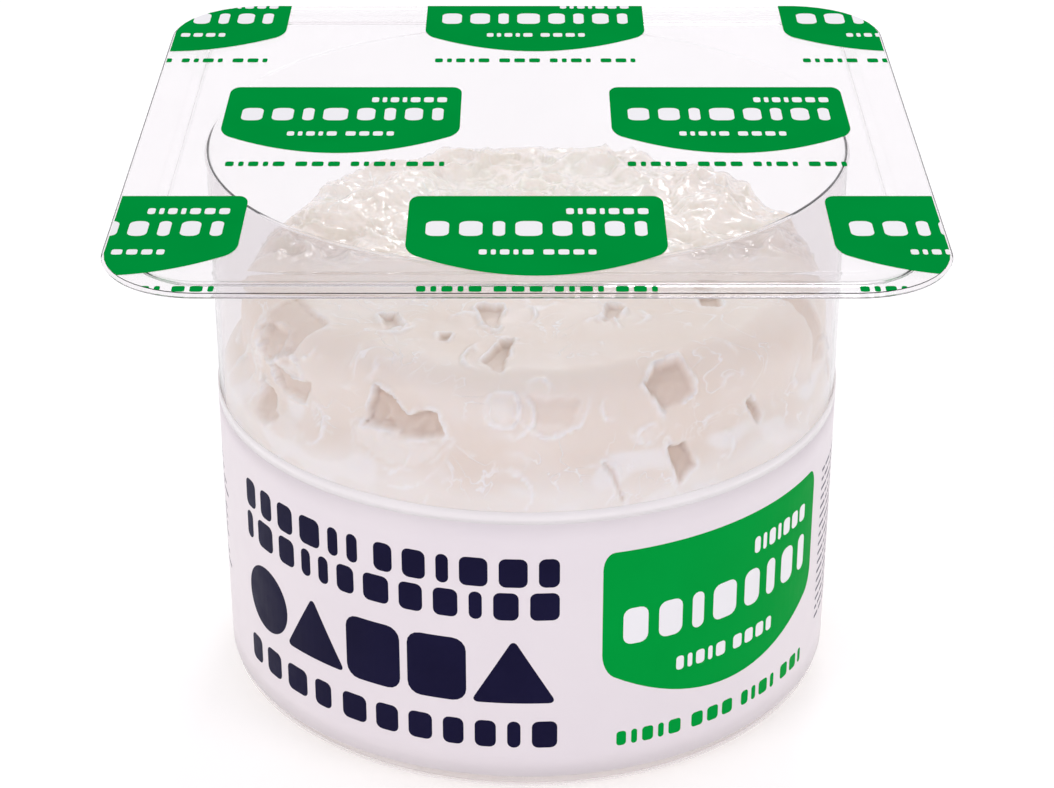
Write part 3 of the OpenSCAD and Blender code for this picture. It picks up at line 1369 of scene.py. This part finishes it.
    def dig(self, hollow: Hollow, x: float, y: float) -> tuple[float, float, float]:
        """How one hollow changes the surface at a point.

        Args:
            hollow: the hollow.
            x: the point's distance across from the hollow's place, in mm.
            y: its distance up.

        Returns:
            The outward change in mm, the share of painted shade on its floor, darker towards its upper
            edge, and the share of pale lip, partly painted highlight, each 0 to 1.
        """
        ragged = noise.noise(Vector((x * 0.9, y * 0.9, hollow.u))) * 0.35
        ragged += noise.noise(Vector((x * 2.6, y * 2.6, hollow.u))) * 0.12
        within = hollow.depth_at(x, y) + ragged
        inside = smoothstep(-0.1, 0.3, within)
        lip = math.exp(-(((within + 0.26) / 0.24) ** 2)) * min(1.0, 4 * hollow.lip)
        broken = smoothstep(-0.45, 0.15, noise.noise(Vector((x * 0.5, y * 0.5, hollow.v))))
        reach = hollow.reach - HOLLOW_MARGIN
        slope = 0.6 + 0.4 * max(-1.0, min(1.0, y / reach)) + 0.2 * noise.noise(Vector((x, y, 5.0)))
        delta = lip * hollow.lip * broken - inside * hollow.depth * slope
        if hollow.depth < 0:
            # a flap that stands out gets no painted shade, and its pale lip and face are partly painted
            # highlight
            return delta, 0.0, max(lip * broken, 0.4 * inside)
        # painted shade on the hollow's floor, darker towards its upper edge
        return delta, inside * hollow.shade * min(1.0, 0.35 + slope), lip * broken

    def fold(self, ridge: Crescent, x: float, y: float) -> tuple[float, float]:
        """How one ridge changes the surface at a point.

        Args:
            ridge: the ridge.
            x: the point's distance across from the ridge's place, in mm.
            y: its distance up.

        Returns:
            The outward change in mm, and how pale the point is, 0 to 1, paler where it stands higher:
            partly the curd's own film, partly painted highlight.
        """
        away = math.hypot(x, y)
        wobble = 0.45 * noise.noise(Vector((x * 0.5, y * 0.5, ridge.u)))
        wobble += 0.25 * noise.noise(Vector((x * 1.7, y * 1.7, ridge.u)))
        line = math.exp(-(((away + wobble - ridge.radius) / 0.25) ** 2))
        line *= 0.6 + abs(noise.noise(Vector((x * 1.1, y * 1.1, ridge.v))))
        apart = math.atan2(y, x) - math.radians(ridge.facing)
        apart = abs((apart + math.pi) % (2 * math.pi) - math.pi)
        line *= 1.35 * ridge.height * max(0.0, 1 - apart / (1.6 * ridge.spread))
        swell = ridge.height * ridge.swell * smoothstep(0.0, 0.8, 1 - away / (ridge.radius + 0.2))
        # paleness rises with the ridge's height: partly painted highlight
        return line + swell, min(1.0, 3.4 * line + 0.9 * swell)

    def tear(self, place: Vector) -> float:
        """Height of the torn curds of the rough top at a point, in mm."""
        bent = place + Vector(noise.noise_vector(place * 0.16)) * 2.6
        coarse = ridged(bent * 0.13)
        middle = ridged(bent * 0.33 + Vector((7, 3, 1)))
        fine = ridged(bent * 0.75 + Vector((2, 9, 4)))
        dome = 1.3 * smoothstep(2.0, 24.0, place.y) - 0.2
        rough = 1.0 * (coarse - 0.5) + 0.6 * (middle - 0.5) * (0.4 + coarse) + 0.22 * (fine - 0.5)
        return dome + rough + 0.3 * noise.noise(place * 0.1 + Vector((4, 4, 0)))

    def shape(self, spot: Spot) -> tuple[float, float, float, float]:
        """How the plain round changes at a spot.

        Args:
            spot: the spot.

        Returns:
            The outward change in mm, and the shares of painted shade in holes and creases, of pale lip,
            partly painted highlight, and of wet and torn curd.
        """
        place = spot.place
        calm = 0.5 * noise.noise(place * 0.07) + 0.2 * noise.noise(place * 0.2)
        calm += 0.07 * noise.noise(place * 0.6)
        edge = place.y + 3.0 * noise.noise(place * 0.12)
        torn = smoothstep(0.3, 0.95, spot.up) * smoothstep(-6.0, 3.0, edge)
        change = calm + (torn * self.tear(place) if torn > 0 else 0.0)
        # painted shade in the low creases of the torn top
        hollow, rim = 0.5 * torn * smoothstep(0.1, -0.9, change), 0.0
        for mark in self.marks:
            seen = spot.seen_from(mark)
            if seen is None:
                continue
            if isinstance(mark, Hollow):
                delta, inside, lip = self.dig(mark, *seen)
                hollow, rim = max(hollow, inside), max(rim, lip)
            else:
                delta, pale = self.fold(mark, *seen)
                rim = max(rim, pale)
            change += delta
        return change, hollow, rim, torn

    def slump(self, spot: Spot) -> float:
        """Share of the gap to the wall that the soft lower curd fills at a spot."""
        if spot.up < -0.2 or spot.place.xy.length < (self.radius - self.shoulder) / MM:
            return 0.0
        edge = 40.5 + 1.6 * noise.noise(spot.place * 0.14)
        return 0.95 * (1 - smoothstep(edge - 2.6, edge + 2.2, spot.place.z))

    def smear(self, spot: Spot, slump: float) -> float:
        """How pale the curd pressed and smeared on the wall is at a spot, where slump of its gap is
        filled: the streaks are smeared curd, the paleness where the gap is filled is painted light over
        the shade of the narrow gap above the label.
        """
        streak = noise.noise(Vector((spot.angle * 0.11, spot.place.z * 0.33, 3.0)))
        # the slump term is painted light over the shaded gap; the streak term is smeared curd
        return max(0.55 * slump * slump, 0.8 * smoothstep(0.1, 0.5, streak + 0.25 * slump))

    def build(self, maker: Maker) -> bpy.types.Object:
        """Builds the cheese.

        Args:
            maker: makes the piece.

        Returns:
            The cheese.
        """
        self.marks = [*self.hollows(), *self.crescents()]
        noise.seed_set(self.seed)  # without a seed, the torn top differs in each run
        bm = sweep(self.profile(), 2 * math.pi, self.around, closed=True)
        bmesh.ops.remove_doubles(bm, verts=bm.verts[:], dist=0.01 * MM)
        bmesh.ops.recalc_face_normals(bm, faces=bm.faces[:])
        bm.normal_update()
        # attributes: painted shade in holes and creases, pale lips and smears that are partly painted
        # light, and wet torn curd
        layers = [bm.verts.layers.float.new(name) for name in ("hollow", "rim", "wet")]
        spots = []
        for vert in bm.verts:
            reach = vert.co.xy.length
            turn = math.atan2(vert.co.x, -vert.co.y)
            turn -= self.front_share * math.sin(turn)
            place = Vector((reach * math.sin(turn), -reach * math.cos(turn), vert.co.z)) / MM
            level = Vector((math.sin(turn), -math.cos(turn), 0)) * vert.normal.xy.length
            normal = level + Vector((0, 0, vert.normal.z))
            spots.append((Spot(place, normal.z, math.degrees(turn), self.rise(place)), normal))
        for vert, (spot, normal) in zip(bm.verts, spots):
            change = 0.0
            if spot.place.z > self.hidden / MM - 2.0:
                change, *shares = self.shape(spot)
                for layer, share in zip(layers, shares):
                    vert[layer] = share
            place = (spot.place + normal * change) * MM
            place.x += self.shift
            limit = self.tub.wall_radius(place.z) - self.tub.sheet - self.clearance
            reach = max(place.xy.length, MM)
            slump = self.slump(spot) * (1 - 0.5 * vert[layers[0]])
            if slump > 0 and reach < limit:
                # pale smear on the wall, partly painted light over the shaded gap above the label
                vert[layers[1]] = max(vert[layers[1]], self.smear(spot, slump))
                place.xy *= 1 + slump * (limit - reach) / reach
            place.xy *= min(1.0, limit / max(place.xy.length, MM))
            vert.co = place
        return maker.piece("cheese_round", bm, CURD, Slot.CHEESE, "cheese")


# --------------------------------------------------------------------------- studio


@dataclass(frozen=True)
class Card:
    """A dimmer part of the bright room, in one direction from the tub.

    Args:
        start: where it begins, as the share of a view's direction that points its way.
        full: where it has its whole colour.
        colour: its colour.
    """

    start: float
    full: float
    colour: Colour


@dataclass(frozen=True)
class Lamp:
    """A soft square lamp that faces the tub.

    Args:
        name: its name.
        place: where it hangs.
        size: its width.
        power: its power in watts.
        colour: its colour.
    """

    name: str
    place: tuple[float, float, float]
    size: float
    power: float
    colour: Colour


@dataclass
class Studio:
    """Pale floor, soft light and the camera."""

    distance: float = 0.3397
    pitch: float = 26.79
    lens: float = 97.0
    aim: float = 32.44 * MM
    floor_size: float = 3.0
    room: Colour = (1.0, 0.98, 1.01)
    strength: float = 1.2
    ceiling: Card = Card(0.55, 0.75, (0.58, 0.58, 0.6))
    sides: Card = Card(0.55, 0.85, (0.55, 0.52, 0.505))
    front: Card = Card(-0.45, -0.85, (0.58, 0.545, 0.63))
    lamps: tuple[Lamp, ...] = (
        Lamp("top_back", (0.08, 0.48, 0.5), 0.14, 0.5, (0.94, 0.975, 1.0)),
        Lamp("front_left", (-0.5, -0.42, 0.4), 0.3, 0.9, (1.0, 0.96, 0.92)),
        Lamp("front_right", (0.52, -0.3, 0.4), 0.25, 0.6, (1.0, 0.955, 0.91)),
    )

    def floor(self, maker: Maker) -> None:
        """Lays the pale floor.

        Args:
            maker: makes the mesh.
        """
        bm = bmesh.new()
        bmesh.ops.create_grid(bm, x_segments=8, y_segments=8, size=self.floor_size)
        maker.obj("studio_floor", bm, maker.finish(PAPER))

    def hang(self, lamp: Lamp) -> None:
        """Hangs a lamp and turns it to the tub."""
        data = bpy.data.lights.new(lamp.name, "AREA")
        data.size = lamp.size
        data.energy = lamp.power
        data.color = lamp.colour
        hung = bpy.data.objects.new(lamp.name, data)
        hung.location = lamp.place
        towards = Vector((0, 0, self.aim)) - hung.location
        hung.rotation_euler = towards.to_track_quat("-Z", "Y").to_euler()
        bpy.context.scene.collection.objects.link(hung)

    def sky(self) -> None:
        """Lights the room softly: a dimmer ceiling, dim cards at both sides and lilac in front."""
        w = Wiring(bpy.data.worlds.new("studio_light"))
        way = w.add("ShaderNodeSeparateXYZ", Vector=w.way.outputs["Generated"])
        seen: object = self.room
        for value, card in (
            (way.outputs["Z"], self.ceiling),
            (w.reckon("ABSOLUTE", way.outputs["X"]), self.sides),
            (way.outputs["Y"], self.front),
        ):
            share = w.add("ShaderNodeMapRange", Value=value, From_Min=card.start, From_Max=card.full)
            seen = w.blend(share.outputs["Result"], seen, card.colour)
        glow = w.add("ShaderNodeBackground", Color=seen, Strength=self.strength)
        w.add("ShaderNodeOutputWorld", Surface=glow.outputs["Background"])
        bpy.context.scene.world = w.owner

    def camera(self) -> None:
        """Sets the camera in front of the tub, looking down at it."""
        data = bpy.data.cameras.new("camera")
        data.lens = self.lens
        data.sensor_width = 36.0
        data.clip_start = 0.01
        camera = bpy.data.objects.new("camera", data)
        down = math.radians(self.pitch)
        camera.location = (
            0.0, -self.distance * math.cos(down), self.aim + self.distance * math.sin(down),
        )
        camera.rotation_euler = (math.pi / 2 - down, 0.0, 0.0)
        bpy.context.scene.collection.objects.link(camera)
        bpy.context.scene.camera = camera

    def build(self, maker: Maker) -> None:
        """Builds the studio.

        Args:
            maker: makes the floor.
        """
        self.floor(maker)
        self.sky()
        for lamp in self.lamps:
            self.hang(lamp)
        self.camera()
        bpy.context.scene.view_settings.view_transform = "Standard"


def main() -> None:
    """Builds every piece in order; each piece's face count goes to the log."""
    logging.basicConfig(level=logging.INFO, format="%(name)s %(message)s")
    maker = Maker()
    tub = Tub()
    film = LidFilm()
    tub.build(maker)
    film.build(maker)
    FilmPrint(film).build(maker)
    Label(tub).build(maker)
    Cheese(tub).build(maker)
    Studio().build(maker)


if __name__ == "__main__":
    main()
